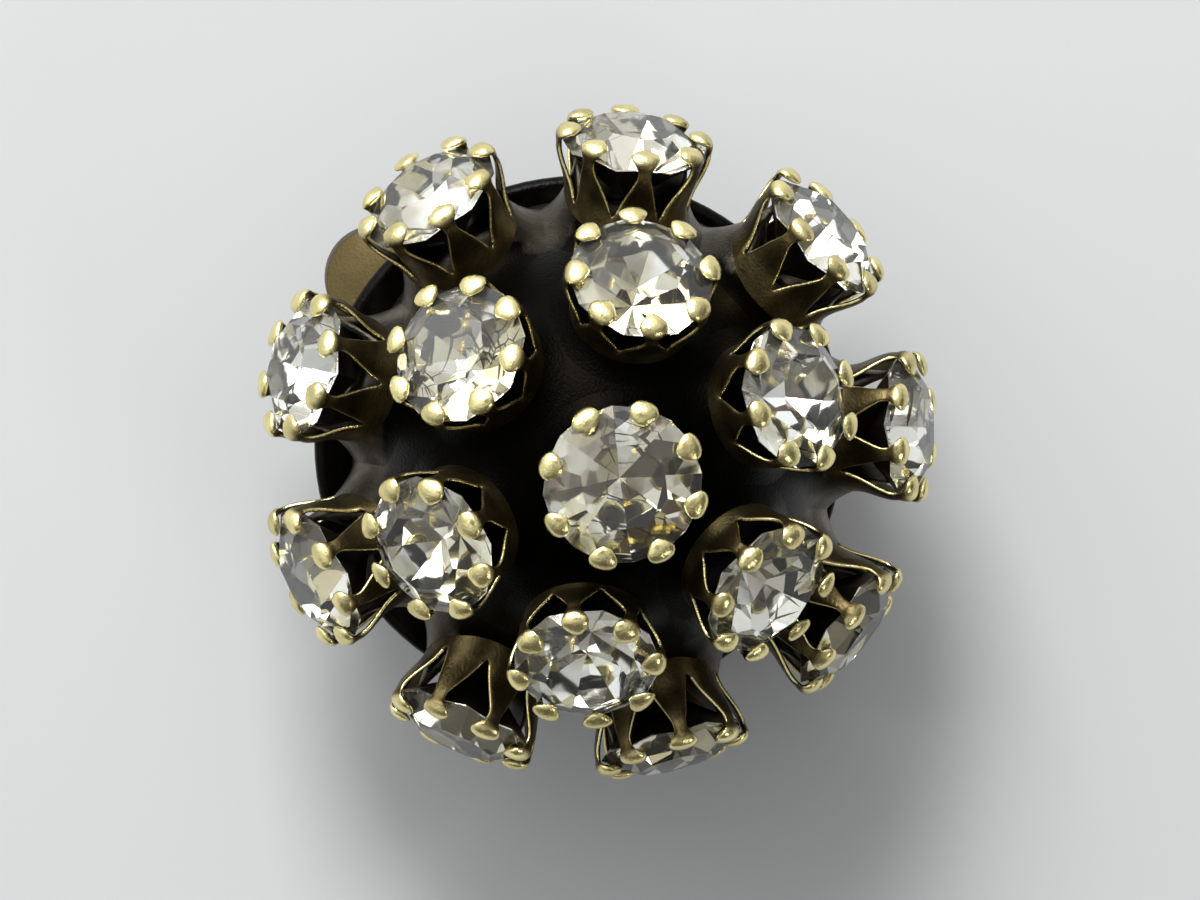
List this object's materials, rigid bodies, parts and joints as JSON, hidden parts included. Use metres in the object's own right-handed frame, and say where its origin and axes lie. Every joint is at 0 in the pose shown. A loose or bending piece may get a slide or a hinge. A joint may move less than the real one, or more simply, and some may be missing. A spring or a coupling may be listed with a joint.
{
  "type": "clip-on earring",
  "caption": "Domed clip-on earring: clear cut stones in clawed cups on a dark shell, with a black back plate and a hinged paddle clip.",
  "frame": {"origin": "on the surface the earring lies on, below the middle of the dome; the middle of the bounding box's bottom", "axes": "+Z is the way the dome faces, away from the ear; +Y is the way the clip's paddle points, which is up when worn; +X completes the frame"},
  "size_m": [0.0252, 0.025, 0.0192],
  "materials": {
    "aged_brass": "aged, dark in the hollows, rubbed bright on the claws",
    "cut_glass": "clear, foiled behind, a little yellowed",
    "black_metal": "black lacquer, worn at the edge",
    "clip_metal": "satin, warm grey gold"
  },
  "bodies": {
    "earring": {"claw_dome": "aged_brass", "stone_centre": "cut_glass", "stone_inner_1": "cut_glass", "stone_inner_2": "cut_glass", "stone_inner_3": "cut_glass", "stone_inner_4": "cut_glass", "stone_inner_5": "cut_glass", "stone_inner_6": "cut_glass", "stone_outer_1": "cut_glass", "stone_outer_2": "cut_glass", "stone_outer_3": "cut_glass", "stone_outer_4": "cut_glass", "stone_outer_5": "cut_glass", "stone_outer_6": "cut_glass", "stone_outer_7": "cut_glass", "stone_outer_8": "cut_glass", "stone_outer_9": "cut_glass", "back_plate": "black_metal", "hinge_pin": "clip_metal"},
    "clip": {"clip_lever": "clip_metal"}
  },
  "joints": [
    {"name": "clip_hinge", "type": "hinge", "parent": "earring", "child": "clip", "pos_m": [0, -0.0062, 0.0015], "axis": [-1, 0, 0], "range_deg": [0, 90]}
  ]
}
